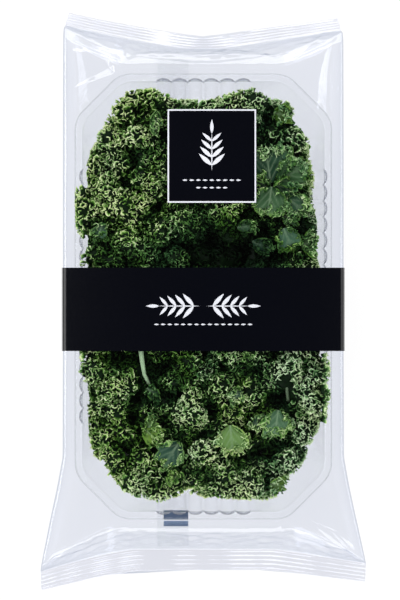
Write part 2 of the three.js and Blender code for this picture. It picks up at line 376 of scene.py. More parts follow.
# Cross-sections from the foot seal to the head seal: place along the pack, half widths of the
# flat underside, the bulge and the shoulder, their heights and the crown's, how far the corners
# reach along the pack beyond the middle, the share of the half width where that reach starts, and
# how far the middle droops.
MEASURES = (
    "y", "base", "bulge", "shoulder", "z_base", "z_bulge", "z_shoulder", "z_crown", "reach", "knee", "droop"
)
STATIONS = np.array([
    (-163.5, 98.2, 98.4, 98.2, 13.2, 13.4, 13.6, 13.6, -9.6, 0.40, 0),
    (-150.8, 98.6, 98.8, 98.6, 13.2, 13.4, 13.6, 13.6, -11.0, 0.42, 0),
    (-150.0, 98.0, 98.8, 98.2, 12.6, 13.4, 14.6, 14.8, -11.6, 0.44, 0),
    (-144.0, 92.0, 98.7, 97.6, 7.0, 14.0, 26.5, 29.0, -17.0, 0.50, 0),
    (-138.8, 84.0, 98.2, 96.8, 3.2, 17.0, 40.0, 43.2, -20.4, 0.54, 0),
    (-137.0, 80.0, 97.9, 96.4, 1.6, 17.5, 42.0, 44.6, -21.0, 0.55, 0),
    (-136.0, 76.0, 97.6, 96.1, 1.2, 18.0, 42.2, 45.0, -20.0, 0.55, 0),
    (-128.0, 69.0, 93.4, 91.9, 0.0, 21.0, 42.3, 46.0, -8.0, 0.55, 0),
    (-112.0, 64.0, 88.2, 86.7, 0.0, 23.0, 42.4, 47.5, 0, 0.55, 0),
    (-94.0, 62.0, 84.9, 83.4, 0.0, 24.0, 42.4, 48.6, 0, 0.55, 0),
    (-60.0, 62.0, 84.8, 83.3, 0.0, 24.0, 43.4, 49.4, 0, 0.55, 0),
    (-30.0, 62.0, 84.7, 83.2, 0.0, 24.0, 42.5, CROWN, 0, 0.55, 0),
    (20.0, 62.0, 84.7, 83.2, 0.0, 24.0, 42.5, CROWN, 0, 0.55, 0),
    (45.0, 62.0, 84.7, 83.2, 0.0, 24.0, 43.6, 49.9, 0, 0.55, 0),
    (70.0, 62.0, 84.7, 83.2, 0.0, 24.0, 43.6, 49.6, 0, 0.55, 0),
    (90.0, 62.0, 84.7, 83.2, 0.0, 24.0, 42.5, 49.0, 0, 0.55, 0),
    (115.0, 63.0, 84.7, 83.2, 0.0, 23.0, 42.4, 47.6, 0, 0.55, 0),
    (134.0, 66.0, 84.7, 83.2, 0.0, 21.0, 42.3, 46.0, 7.0, 0.55, 0),
    (142.4, 71.0, 84.7, 83.2, 1.2, 18.0, 42.0, 45.0, 15.0, 0.55, 0),
    (143.6, 73.0, 84.7, 83.2, 2.0, 17.5, 41.4, 44.3, 15.5, 0.55, 0),
    (148.4, 77.0, 84.4, 83.0, 6.0, 17.0, 38.6, 41.8, 15.0, 0.50, 1.0),
    (150.2, 79.0, 84.2, 82.6, 10.0, 17.0, 32.0, 34.0, 14.0, 0.40, 2.5),
    (153.0, 83.0, 83.6, 83.2, 16.8, 17.3, 18.2, 18.4, 12.4, 0.12, 6.0),
    (153.6, 83.2, 83.5, 83.2, 17.2, 17.4, 17.6, 17.6, 12.2, 0.10, 6.6),
    (161.6, 81.2, 81.5, 81.2, 17.2, 17.4, 17.6, 17.6, 11.6, 0.0, 14.6),
])
# Folds of the upper web that catch the light: straight ridges with flat flanks, from (x, y) to
# (x, y), with their half widths at both ends and the slope of the flanks.
FOLDS = [
    (-56, 141, -83, 127, 5.5, 1.0, 0.50),
    (-50, 145, -84, 160, 1.2, 4.0, 0.55),
    (-58, 152, -84, 152, 1.0, 3.2, 0.50),
    (-66, 158, -82, 170, 1.0, 2.6, 0.50),
    (-80, 118, -83, 140, 0.6, 2.2, 0.45),
    (-42, 147, 2, 145, 0.5, 2.8, 0.40),
    (44, 148, 2, 145, 0.5, 2.8, 0.40),
    (54, 145, 84, 161, 1.0, 2.6, 0.55),
    (62, 150, 84, 165, 0.8, 2.0, 0.50),
    (58, 112.5, 78, 122, 0.5, 1.9, 0.60),
    (74, 146, 79, 128, 0.8, 2.4, 0.40),
    (-47, -136.5, -93, -156, 1.2, 3.6, 0.50),
    (-56, -144, -92, -159, 0.8, 3.4, 0.50),
    (-84, -126, -92, -150, 0.6, 2.4, 0.40),
    (46, -137, 58, -128, 1.4, 0.8, 0.50),
    (56, -129, 80, -139, 0.8, 1.4, 0.50),
    (78, -138, 97, -157, 1.4, 3.6, 0.55),
    (62, -132, 90, -156, 0.8, 4.4, 0.50),
    (50, -140, 76, -150, 0.8, 2.2, 0.50),
]
PLAIN_SPAN = (-126, 124)  # the stretch between the folded ends
# Steps across the underside, round the lower or the upper half of a side, and across the top.
ACROSS = {"base": 24, "side": 12, "top": 116}
TOP_START = ACROSS["base"] + 2 * ACROSS["side"]


def measures_at(y, names):
    """Measures of the film's cross-section at places along the pack, from the stations on either side."""
    return [np.interp(y, STATIONS[:, 0], STATIONS[:, MEASURES.index(name)]) for name in names]


def film_places():
    """Places along the pack: finer at the ends, where the film folds."""
    return np.concatenate([
        np.linspace(FOOT_SEAL[0], FOOT_SEAL[1], 27)[:-1],
        np.linspace(FOOT_SEAL[1], PLAIN_SPAN[0], 60)[:-1],
        np.linspace(*PLAIN_SPAN, 74)[:-1],
        np.linspace(PLAIN_SPAN[1], HEAD_SEAL[0], 68)[:-1],
        np.linspace(HEAD_SEAL[0], HEAD_SEAL[1], 24),
    ])


def film_ring(y, measure):
    """One cross-section as points going round from the left of the underside."""
    base, bulge, shoulder, z_base, z_bulge, z_shoulder, z_crown, reach, knee, droop = measure
    turn = np.linspace(0, math.pi / 2, ACROSS["side"], endpoint=False)
    low_x = base + (bulge - base) * np.sin(turn)
    low_z = z_bulge - (z_bulge - z_base) * np.cos(turn)
    up_x = shoulder + (bulge - shoulder) * np.cos(turn)
    up_z = z_bulge + (z_shoulder - z_bulge) * np.sin(turn)
    under_x = np.linspace(-base, base, ACROSS["base"], endpoint=False)
    top_x = np.linspace(shoulder, -shoulder, ACROSS["top"] + 1)
    top_z = z_shoulder + (z_crown - z_shoulder) * (1 - (top_x / shoulder) ** 2)
    x = np.concatenate([under_x, low_x, up_x, top_x, -up_x[:0:-1], -low_x[::-1][:-1]])
    z = np.concatenate([np.full(len(under_x), z_base), low_z, up_z, top_z, up_z[:0:-1], low_z[::-1][:-1]])
    share = np.clip((np.abs(x) / bulge - knee) / (1 - knee), 0, 1) ** 1.2
    skew = SKEW["foot"] * ease((-120 - y) / 30) + SKEW["head"] * ease((y - 120) / 30)
    return np.stack([x, y + reach * share - skew * share * x / bulge, z - droop * (1 - share)], axis=1)


def film_rings(places):
    """The film's cross-sections at places along the pack."""
    measures = zip(*measures_at(places, MEASURES[1:]))
    return np.stack([film_ring(y, measure) for y, measure in zip(places, measures)])


def free_of_labels(x, y):
    """0 on the film under the labels and 1 a little way off them."""
    away = []
    for name in ("front_label", "band_label"):
        low, high = node_box(name)
        gap = np.maximum(np.maximum(low[0] - x, x - high[0]), np.maximum(low[1] - y, y - high[1]))
        away.append(ease((gap - 1) / 10))
    return away[0] * away[1]


def folds(x, y):
    """How high the folds stand at each place."""
    lift = np.zeros(x.shape)
    for x0, y0, x1, y1, first, last, slope in FOLDS:
        run = np.array([x1 - x0, y1 - y0])
        length = np.hypot(*run)
        along = ((x - x0) * run[0] + (y - y0) * run[1]) / length
        aside = np.abs((x - x0) * run[1] - (y - y0) * run[0]) / length
        wide = np.interp(along, [-1.5, 0, length, length + 3], [0, first, last, 0])
        lift = np.maximum(lift, slope * (wide - aside))
    return lift


def film_lift(grid, rng):
    """How far slack, crumples, creases and folds lift the film off its nominal shape."""
    points = grid.reshape(-1, 3)
    x, y, z = points.T
    end = np.maximum(ease((y - 118) / 20), ease((-108 - y) / 20))
    off_side = (grid[:, TOP_START : TOP_START + 1, 0] - np.abs(grid[..., 0])).reshape(-1)
    upper = ease((z - 30) / 8) * ease((off_side - 1.0) / 7)
    slope = ease((z - 15) / 6) * ease((44.5 - z) / 4) * (np.abs(y) > 130) * ease(off_side / 12)
    slack = waves(rng, 42, 20)(points * (1.0, 0.6, 0.4)) * 0.35 * upper * (1 - 0.5 * end)
    crumple = (waves(rng, 16, 24)(points) * 0.12 + waves(rng, 7, 24)(points) * 0.05) * end * upper
    crease = (waves(rng, 9, 24)(points) * 0.30 + waves(rng, 4.5, 24)(points) * 0.10) * slope
    lift = slack * free_of_labels(x, y) + crumple + crease + folds(x, y) * np.maximum(upper, slope)
    return lift.reshape(grid.shape[:2])


def seal_lift(grid, share, rng):
    """How far the end seals rise and fall: crimped ribs across them, and a sway."""
    points = grid.reshape(-1, 3)
    strength = 0.10 + 0.22 * np.abs(waves(rng, 30, 12)(points * (1, 0, 0))).reshape(grid.shape[:2])
    strength = strength * (0.45 + 0.55 * ease((np.abs(grid[..., 0]) - 25) / 30))
    rib = np.sin(2 * math.pi * SEAL_RIBS * share) * strength * ease(share * 8) * ease((1 - share) * 8)
    sway = waves(rng, 60, 16)(points * (1, 0.2, 0.2)).reshape(grid.shape[:2]) * 1.1
    return rib + sway * np.clip(share, 0, 1)


def film_skin():
    """The film's one closed skin, with its slack, its folds and the ribs of its seals."""
    rng = np.random.default_rng(11)
    places = film_places()
    grid = film_rings(places)
    foot_in, head_in = (FOOT_SEAL[1] - places)[:, None], (places - HEAD_SEAL[0])[:, None]
    seal = np.maximum(ease(foot_in / 0.8), ease(head_in / 0.8))
    share = np.maximum(foot_in / (FOOT_SEAL[1] - FOOT_SEAL[0]), head_in / (HEAD_SEAL[1] - HEAD_SEAL[0]))
    around = np.roll(grid, -1, axis=1) - np.roll(grid, 1, axis=1)
    normal = unit(np.cross(around, np.gradient(grid, axis=0)))
    skin = grid + normal * (film_lift(grid, rng) * (1 - seal))[..., None]
    skin[..., 2] += seal * seal_lift(grid, share, rng)
    return skin


def film_wrap():
    points = film_skin()
    rows, count = points.shape[:2]
    sides = strip_faces(rows, count, wrap=True)[:, ::-1]
    ends = np.array([np.arange(count), (rows * count - 1) - np.arange(count)])
    y = film_places()
    sealed = (y[1:] < FOOT_SEAL[1] + 0.1) | (y[:-1] > HEAD_SEAL[0] - 0.1)
    kind = np.concatenate([np.repeat(sealed, count), [True, True]])
    piece = make("film_wrap_skin", points.reshape(-1, 3), [sides, ends], [FILM, SEAL], face_material=kind)
    stand_in(piece, "film_wrap")


film_wrap()

# ---- Labels --------------------------------------------------------------------------------

LABEL_BACK, LABEL_FACE = 0.35, 0.75  # how far a label's two faces stand off the film's nominal shape
PRINT = 0.08  # thickness of the white print on a label


def film_height(x, y):
    """The height of the film's upper web over places on the plan."""
    shoulder, z_shoulder, z_crown = measures_at(y, ("shoulder", "z_shoulder", "z_crown"))
    return z_shoulder + (z_crown - z_shoulder) * (1 - (x / shoulder) ** 2)


def closed_sheet(top, bottom):
    """A closed thin body between two grids of points with the same shape."""
    rows, columns = top.shape[:2]
    size = rows * columns
    points = np.concatenate([top.reshape(-1, 3), bottom.reshape(-1, 3)])
    upper = strip_faces(rows, columns)
    lower = strip_faces(rows, columns, start=size)[:, ::-1]
    index = np.arange(size).reshape(rows, columns)
    rim = np.concatenate([index[0, :-1], index[:-1, -1], index[-1, :0:-1], index[:0:-1, 0]])
    ahead = np.roll(rim, -1)
    wall = np.stack([rim, rim + size, ahead + size, ahead], axis=1)
    return points, np.concatenate([upper, lower, wall])


def underside_strip(name, span_x, span_y, lift, thick, material):
    """A thin sheet that lies just inside the film's underside."""
    x, y = np.meshgrid(np.linspace(*span_x, 3), np.linspace(*span_y, 60))
    z_base, droop = measures_at(y, ("z_base", "droop"))
    z = z_base - droop + lift
    points, faces = closed_sheet(np.dstack([x, y, z + thick]), np.dstack([x, y, z]))
    stand_in(make(name, points, faces, [material], smooth=False), "film_wrap")


def lens(x, y, heading, length, width):
    """A pointed leaf outline of 16 points that starts at a place."""
    share = np.linspace(0, 1, 9)
    half = width / 2 * np.sin(math.pi * share**0.85)
    along = np.concatenate([share, share[-2:0:-1]]) * length
    aside = np.concatenate([-half, half[-2:0:-1]])
    turn = math.radians(heading)
    return np.stack([
        x + along * math.cos(turn) - aside * math.sin(turn),
        y + along * math.sin(turn) + aside * math.cos(turn),
    ], axis=1)


def sprig(x, y, heading, length, pairs, leaf):
    """A stem with paired leaves and one at its tip."""
    turn = math.radians(heading)
    outlines = [lens(x, y, heading, length, 0.8)]
    for step in range(pairs):
        along = length * (0.14 + 0.80 * step / pairs)
        size = leaf * (1.0 - 0.35 * step / pairs)
        for side in (-1, 1):
            root = (x + along * math.cos(turn), y + along * math.sin(turn))
            outlines.append(lens(*root, heading + side * 48, size, size * 0.25))
    end = (x + length * 0.94 * math.cos(turn), y + length * 0.94 * math.sin(turn))
    outlines.append(lens(*end, heading, leaf * 0.8, leaf * 0.2))
    return outlines


def printed(name, outlines, node):
    """White shapes printed on a label, as thin closed bodies on its face."""
    flat = np.array(outlines)
    count, around = flat.shape[:2]
    z = film_height(flat[..., 0], flat[..., 1]) + LABEL_FACE
    points = np.stack([np.dstack([flat, z]), np.dstack([flat, z + PRINT])], axis=1).reshape(-1, 3)
    start = np.arange(count)[:, None] * 2 * around
    ring = np.arange(around)
    lower, upper = start + ring[::-1], start + around + ring
    ahead = np.roll(ring, -1)
    walls = np.stack([start + ring, start + ahead, start + around + ahead, start + around + ring], axis=-1)
    faces = [np.concatenate([lower, upper]), walls.reshape(-1, 4)]
    stand_in(make(name, points, faces, [WHITE], smooth=False), node)


def dashes(x, y, count):
    """A rule of short dashes about a middle."""
    return [lens(x + (step - count / 2) * 4 + 0.5, y, 0, 3, 1.0) for step in range(count)]


def label_middle(node):
    low, high = node_box(node)
    return (low[0] + high[0]) / 2, (low[1] + high[1]) / 2


def ornaments():
    """Plain leaf sprigs and dashed rules on both labels."""
    x, y = label_middle("front_label")
    square = sprig(x, y - 9, 90, 24, 4, 10.5) + dashes(x, y - 14.5, 9) + dashes(x, y - 19.0, 5)
    printed("front_label_sprig", square, "front_label")
    x, y = label_middle("band_label")
    band = sprig(x + 2, y + 2, 0, 26, 4, 10) + sprig(x - 2, y + 2, 180, 26, 4, 10) + dashes(x, y - 9, 15)
    printed("band_label_sprig", band, "band_label")


def front_label():
    """The square label, whose outermost faces are its white border."""
    border = 0.9
    x, y = np.meshgrid(*[
        np.concatenate([[low], np.linspace(low + border, high - border, 20), [high]])
        for low, high in list(zip(*node_box("front_label")))[:2]
    ])
    z = film_height(x, y)
    points, faces = closed_sheet(np.dstack([x, y, z + LABEL_FACE]), np.dstack([x, y, z + LABEL_BACK]))
    rows, columns = x.shape
    cell_row, cell_column = np.divmod(np.arange((rows - 1) * (columns - 1)), columns - 1)
    edge = (cell_row == 0) | (cell_row == rows - 2) | (cell_column == 0) | (cell_column == columns - 2)
    kind = np.ones(len(faces), int)
    kind[: len(edge)] = edge
    piece = make("front_label_sheet", points, faces, [BLACK, WHITE], face_material=kind, smooth=False)
    stand_in(piece, "front_label")


def band_label():
    """The band, which follows the film from one side of its underside over the top to the other."""
    low, high = node_box("band_label")
    rings = film_rings(np.linspace(low[1], high[1], 14))[:, ACROSS["base"] + 1 :]
    rings = rings[:, rings[0, :, 2] > low[2] - 0.4]
    normal = unit(np.cross(np.gradient(rings, axis=1), np.gradient(rings, axis=0)))
    normal *= np.sign((normal * (rings - (0, 0, 20))).sum(axis=-1, keepdims=True))
    points, faces = closed_sheet(rings + normal * LABEL_FACE, rings + normal * LABEL_BACK)
    piece = make("band_label_sheet", points, faces[:, ::-1], [BLACK], smooth=False)
    stand_in(piece, "band_label")


front_label()
band_label()
ornaments()
STRIP_X = (-28.0, -8.9)  # the film's back seal, off the middle of the underside
MARK_X = (-24.2, -9.2)  # the printed mark on it
underside_strip("back_seal_strip", STRIP_X, (-149, 147), 0.15, 0.15, BACK_SEAL)
underside_strip("eye_mark_upper", MARK_X, (-133.4, -127.8), 0.4, 0.1, INK)
underside_strip("eye_mark_lower", MARK_X, (-137.4, -134.2), 0.4, 0.1, PALE_INK)

# ---- Tray ----------------------------------------------------------------------------------

FLUTE = {"pitch": 9.6, "depth": 2.6, "long": 16, "short": 6, "steps": 7}
# Rings of the floor and its raised panel: how far inside the foot of the wall, and how high.
PANEL = [(28, 1.8), (24, 1.8), (11.6, 1.8), (10.4, 1.2), (9.6, 0.3), (8.8, 0.0), (5, 0.0), (2.2, 0.2)]
WALL_RINGS = 20
# Rings of the rim: how far inside its edge, and how far below its top.
RIM_EDGE = [(4.2, 0), (3.4, 0), (1.6, 0), (0.8, 0.15), (0.6, 0.6), (0.0, 3.6)]


def tray_ring(half_x, half_y, z, cut, flute=0.0):
    """One level of the tray's sheet, counterclockwise from the right-hand side, with cut corners."""

    def side(count, across):
        run = count * FLUTE["pitch"] / 2
        step = np.linspace(0, count, count * FLUTE["steps"] + 1)
        swell = flute * np.sqrt(np.abs(np.sin(math.pi * step)))
        return np.stack([across + swell, step * FLUTE["pitch"] - run], axis=1)

    def arc(middle_x, middle_y, start):
        turn = np.linspace(0, math.pi / 4, 9) + start
        return np.stack([middle_x + bend * np.cos(turn), middle_y + bend * np.sin(turn)], axis=1)

    bend = cut * 0.62
    tangent = bend * math.tan(math.pi / 8)
    corner = np.concatenate([
        arc(half_x - bend, half_y - cut - tangent, 0),
        arc(half_x - cut - tangent, half_y - bend, math.pi / 4),
    ])
    long = side(FLUTE["long"], half_x)
    short = side(FLUTE["short"], half_y)[:, ::-1] * (-1, 1)
    half = np.concatenate([long, corner, short, (corner * (-1, 1))[::-1]])
    ring = np.concatenate([half, -half])
    return np.column_stack([ring + TRAY_MIDDLE[:2], np.full(len(ring), z)])


def tray_sheet():
    """The sheet's inner and outer face, from the middle of the floor up and over the rim."""
    floor = TRAY_FLOOR + SHEET
    floor_half = np.array([FLOOR_HALF_X, FLOOR_HALF_Y])
    grow = np.array([RIM_HALF_X - RIM, RIM_HALF_Y - RIM]) - floor_half

    def wall(share, z, flute=0.0, inset=0.0):
        cut = FLOOR_CUT + (RIM_CUT - RIM * 0.6 - FLOOR_CUT) * share - inset * 0.6
        return tray_ring(*(floor_half + grow * share - inset), z, cut, flute)

    def rim(inset, drop):
        return tray_ring(RIM_HALF_X - inset, RIM_HALF_Y - inset, RIM_TOP - drop, RIM_CUT - inset * 0.6)

    rings = [wall(0, floor + rise, 0, inset) for inset, rise in PANEL]
    for share in np.linspace(0.0, 0.965, WALL_RINGS):
        fluted = FLUTE["depth"] * float(ease((share - 0.08) / 0.1) * ease((0.97 - share) / 0.03))
        rings.append(wall(share, floor + 1.6 + (RIM_TOP - floor - 3.2) * share, fluted))
    rings.append(wall(1, RIM_TOP - 0.3))
    rings += [rim(inset, drop) for inset, drop in RIM_EDGE]
    inside = np.stack(rings)
    around = np.roll(inside, -1, axis=1) - np.roll(inside, 1, axis=1)
    normal = unit(np.cross(np.gradient(inside, axis=0), around))
    return inside, inside - normal * SHEET


def tray():
    """The tray's sheet as one closed body, closed by a fan of faces in the middle of its floor."""
    inside, outside = tray_sheet()
    rings = np.concatenate([outside, inside[::-1]])
    count = rings.shape[1]
    middle = [rings[0].mean(axis=0), rings[-1].mean(axis=0)]
    flat = np.concatenate([rings.reshape(-1, 3), middle])
    faces = strip_faces(len(rings), count, wrap=True)
    ring = np.arange(count)
    ahead = np.roll(ring, -1)
    last = (len(rings) - 1) * count
    hub = len(flat) - 2
    fans = [np.stack([np.full(count, hub), ahead, ring], axis=1)]
    fans.append(np.stack([np.full(count, hub + 1), ring + last, ahead + last], axis=1))
    row = np.arange(len(rings) - 1)
    level = np.minimum(row, len(rings) - 2 - row)
    on_wall = np.repeat((level >= len(PANEL)) & (level < len(PANEL) + WALL_RINGS), count)
    kind = np.concatenate([on_wall, np.zeros(2 * count)])
    piece = make("tray_shell", flat, [faces, np.concatenate(fans)], [TRAY, TRAY_WALL], face_material=kind)
    stand_in(piece, "tray")


tray()

# ---- Kale ----------------------------------------------------------------------------------

# The outline that the curled edges fill at the level of the rim, going round from the head's left.
KALE_OUTLINE = np.array([
    (-54, 116), (-50, 122), (-42, 127), (-29, 128), (-21, 123), (-12, 121), (15, 121), (22, 126),
    (30, 127), (43, 121), (51, 120), (56, 115), (60, 102), (64, 94), (63, 86), (65, 76), (64, 65),
    (66, 52), (70, 44), (68, 36), (70, 22), (71, -23), (75, -42), (74, -50), (77, -57), (72, -64),
    (72, -72), (67, -79), (62, -87), (62, -93), (56, -100), (48, -107), (43, -115), (36, -119),
    (25, -117), (10, -118), (0, -116), (-7, -111), (-14, -115), (-25, -119), (-42, -117), (-50, -112),
    (-57, -100), (-63, -93), (-67, -86), (-70, -71), (-70, -57), (-73, -38), (-73, 22), (-71, 30),
    (-76, 48), (-78, 58), (-76, 65), (-72, 73), (-69, 87), (-61, 101), (-56, 109),
])
# Deep gaps between the curls: place and radius.
HOLLOWS = [
    (6, 29, 11), (-10, 30, 8), (24, 27, 9), (38, 27, 7), (50, 50, 5), (49, 107, 5), (35, 103, 4),
    (-50, -37, 7), (-28, -37, 7), (-38, -54, 6), (-31, -92, 7), (-22, -74, 5), (14, -38, 6),
    (46, -57, 8), (42, -86, 6), (29, -90, 5), (11, -64, 5), (-1, -47, 5),
]
# Smooth fans of blade between the curls: where the veins spread from, which way, how far and how
# wide in degrees, how deep under the film, and how yellow and how light they are.
FANS = [
    # x, y, heading, reach, spread, depth, fresh, light
    (40.5, 70, 98, 23, 150, 5.0, 0.10, 0.10),
    (41, 69, 262, 18, 130, 2.5, 0.30, 0.25),
    (44, 71, 32, 21, 100, 3.0, 0.35, 0.20),
    (50, 62, 322, 15, 110, 4.0, 0.15, 0.22),
    (48, 44, 292, 15, 100, 1.5, 0.10, 0.55),
    (47, 51, 350, 11, 110, 3.0, 0.30, 0.45),
    (20, 44, 5, 13, 70, 3.5, 0.20, 0.50),
    (29, 36, 335, 14, 70, 6.5, 0.05, 0.30),
    (58, 34, 5, 10, 140, 3.0, 0.50, 0.25),
    (42, 113, 350, 11, 120, 4.0, 1.00, 0.10),
    (42, 70, 348, 15, 100, 5.5, 0.15, 0.12),
    (41, 70, 178, 13, 110, 5.0, 0.10, 0.15),
    (-28, 114, 268, 13, 60, 2.5, 0.10, 0.35),
    (-60, 47, 250, 12, 80, 2.0, 0.05, 0.40),
    (-36, -76, 318, 14, 80, 1.2, 1.00, 0.90),
    (-35, -78, 45, 10, 90, 2.0, 0.75, 0.50),
    (-14, -84, 236, 19, 95, 2.0, 0.00, 0.25),
    (-18, -101, 275, 9, 90, 1.8, 0.60, 0.60),
    (-34, -52, 318, 11, 70, 4.0, 0.20, 0.25),
    (16, -74, 276, 18, 110, 1.5, 0.70, 0.85),
    (45, -65, 262, 17, 110, 1.5, 0.20, 0.60),
    (46, -66, 310, 12, 50, 2.5, 0.00, 0.25),
    (37, -68, 225, 12, 60, 2.5, 0.05, 0.35),
    (20, -52, 272, 9, 120, 2.0, 0.00, 0.30),
    (40, -110, 350, 9, 110, 2.0, 0.90, 0.30),
]
# A fan that reaches further than OPEN_REACH shows most of its blade. What differs between the two
# kinds: the share of the blade that is bare, where its curls start towards its tip and its sides, how
# much its margin wobbles, and how far it is sunk.
OPEN_REACH = 14.5
OPEN_FAN = {"bare": 0.72, "tip": 0.72, "side": 0.66, "wobble": 0.09, "sunk": 2.0}
SMALL_FAN = {"bare": 0.50, "tip": 0.58, "side": 0.45, "wobble": 0.16, "sunk": 3.0}
VEIN_PITCH = 5.2  # how far apart a fan's side veins start
BLADE = 0.55  # thickness of a fan
BLADE_GRID = 0.8  # how far apart its points are
# Stems that show between the curls: route (place and depth under the film), radius at both ends
# and how pale.
STEMS = [
    (
        [(-37.8, -22, 3.0), (-37.4, -30, 3.2), (-36.4, -38, 3.8), (-35.4, -44, 5.0), (-32.5, -50, 7.5)],
        1.7, 0.9, 1.0,
    ),
    ([(47.5, -41, 4.0), (48.6, -46, 4.5), (50.2, -53, 6.0), (51.0, -60, 8.0)], 0.8, 1.0, 0.35),
]
# The clumps that the top curls gather in, how much lower the gaps between them lie, and the
# place where those gaps are fuller.
CLUMP = {"pitch": 16.0, "radius": 9.0, "drop": 8.5}
FULLER = {"place": (-5, -66), "radius": 16, "share": 0.6}
# Patches of painted shade and painted light, darker or lighter than the rest: place, radius, and how much
# lighter or darker.
SHADE_PATCHES = [
    (10, 36, 17, -0.75), (-6, 48, 12, -0.25), (26, 30, 14, -0.6), (-20, 26, 14, -0.35),
    (-60, 27, 11, -0.4), (50, 27, 12, -0.35), (58, 44, 7, -0.5), (52, 74, 9, -0.35),
    (-22, 84, 9, -0.3), (-41, 81, 6, -0.3), (40, 109, 5, -0.3), (-10, 66, 8, -0.2),
    (-44, 98, 9, 0.18), (-62, 76, 8, 0.12), (-56, 52, 10, 0.12), (42, 101, 6, 0.1),
    (-56, -39, 9, -0.4), (-16, -39, 15, -0.4), (26, -40, 7, -0.4), (46, -58, 9, -0.55),
    (40, -90, 7, -0.45), (-47, -87, 8, -0.35), (-30, -60, 8, -0.3), (14, -104, 9, -0.3),
    (17, -91, 8, 0.25), (3, -73, 8, 0.22), (-10, -54, 9, 0.15), (56, -70, 7, 0.12),
    (26, -56, 6, 0.1), (-36, -108, 8, 0.1), (-58, 62, 30, -0.05), (12, -62, 18, 0.12),
    (54, -46, 16, 0.10), (22, -100, 18, 0.10), (-20, -68, 12, 0.10),
    (2, -80, 26, 0.20), (46, -80, 24, 0.10), (-50, -78, 26, -0.15), (6, -40, 26, -0.16),
    (-42, 24, 16, -0.35), (-18, 32, 14, -0.12), (-40, 76, 38, 0.12), (-6, -68, 9, -0.20),
]


def outline_depth(x, y):
    """How far inside the kale's outline each place lies, negative outside it."""
    places = np.stack([x, y], axis=-1)[:, None, :]
    start, end = KALE_OUTLINE, np.roll(KALE_OUTLINE, -1, axis=0)
    run = end - start
    share = np.clip(((places - start) * run).sum(-1) / (run * run).sum(-1), 0, 1)
    away = np.linalg.norm(places - start - share[..., None] * run, axis=-1).min(axis=1)
    px, py = places[..., 0], places[..., 1]
    spans = (start[:, 1] > py) != (end[:, 1] > py)
    cross = start[:, 0] + (py - start[:, 1]) * run[:, 0] / np.where(run[:, 1] == 0, 1e-9, run[:, 1])
    inside = ((px < cross) & spans).sum(axis=1) % 2 == 1
    return np.where(inside, away, -away)


def bump_at(x, y, place, radius):
    """A smooth bump in plan: 1 at its place, fading over its radius."""
    return np.exp(-(((x - place[0]) ** 2 + (y - place[1]) ** 2) / radius**2))


def squeeze(value, limit, soft):
    """Presses values that come near a limit back under it, without folding them over."""
    near = limit - soft
    over = np.maximum(value - near, 0)
    return np.where(value > near, near + soft * (1 - np.exp(-over / soft)), value)


GAP = 0.7  # between the leaves and the tray's wall
END_GAP = 17  # between the ends of the lower leaves and the tray's end walls
OVER_RIM = RIM_HALF_X - RIM - GAP  # leaves further out than this lie over the rim
RIM_REACH = 8  # how far below the rim's top a leaf may start and still be lifted over it
TORN = 3.5  # a curl is torn if some of it is lifted this much more than the rest


def held_in(points):
    """Presses points inside the tray's wall and under the film."""
    x, y, z = points.T.copy()
    over_rim = (z > RIM_TOP - RIM_REACH) & (np.abs(x) > OVER_RIM)
    z = np.where(over_rim, np.maximum(z, RIM_TOP + 0.5 + 0.12 * (z - RIM_TOP + RIM_REACH)), z)
    below = z < RIM_TOP + 0.4
    half_x, half_y = well_half(z)
    half_x = np.where(below, half_x, RIM_HALF_X + 1.0) - GAP
    half_y = np.where(below, half_y, RIM_HALF_Y + 1.0) - GAP
    x = np.sign(x) * squeeze(np.abs(x), half_x, 2.5)
    off_middle = y - TRAY_MIDDLE[1]
    y = TRAY_MIDDLE[1] + np.sign(off_middle) * squeeze(np.abs(off_middle), half_y, 2.5)
    z = squeeze(z, film_height(x, y) - 0.5, 1.6)
    z = -squeeze(-z, -(TRAY_FLOOR + SHEET + 2.2), 1.2)
    return np.stack([x, y, z], axis=1)


def ball():
    """A unit icosphere's points and triangles."""
    work = bmesh.new()
    bmesh.ops.create_icosphere(work, subdivisions=2, radius=1)
    points = np.array([v.co for v in work.verts])
    faces = np.array([[v.index for v in f.verts] for f in work.faces])
    work.free()
    return points, faces


BALL = ball()


def skin_over(mounds, voxel):
    """The points, normals and quads of a closed skin over overlapping mounds."""
    clouds = [BALL[0] * size @ np.array(turn.to_matrix()).T + place for place, size, turn in mounds]
    points = np.concatenate(clouds)
    faces = np.concatenate([BALL[1] + index * len(BALL[0]) for index in range(len(clouds))])
    work = make("mounds", points, faces, [])
    remesh = work.modifiers.new("skin", "REMESH")
    remesh.mode = "VOXEL"
    remesh.voxel_size = voxel * MM
    mesh = work.evaluated_get(bpy.context.evaluated_depsgraph_get()).to_mesh()
    points = np.empty(len(mesh.vertices) * 3, np.float32)
    mesh.vertices.foreach_get("co", points)
    normals = np.empty_like(points)
    mesh.vertices.foreach_get("normal", normals)
    faces = np.empty(len(mesh.loops), np.int32)
    mesh.loops.foreach_get("vertex_index", faces)
    bpy.data.objects.remove(work)
    return points.reshape(-1, 3) / MM, normals.reshape(-1, 3), faces.reshape(-1, 4)


def spots_on(points, normals, faces, rng, spacing):
    """Random places and normals on a skin of quads, about one to each square of the spacing."""
    corner = points[faces]
    area = np.linalg.norm(np.cross(corner[:, 2] - corner[:, 0], corner[:, 3] - corner[:, 1]), axis=1) / 2
    number = np.floor(area / spacing**2 + rng.random(len(faces))).astype(int)
    face = np.repeat(np.arange(len(faces)), number)
    u, v = rng.random((2, len(face), 1))
    share = np.stack([(1 - u) * (1 - v), u * (1 - v), u * v, (1 - u) * v], axis=1)
    return (corner[face] * share).sum(axis=1), unit((normals[faces[face]] * share).sum(axis=1))
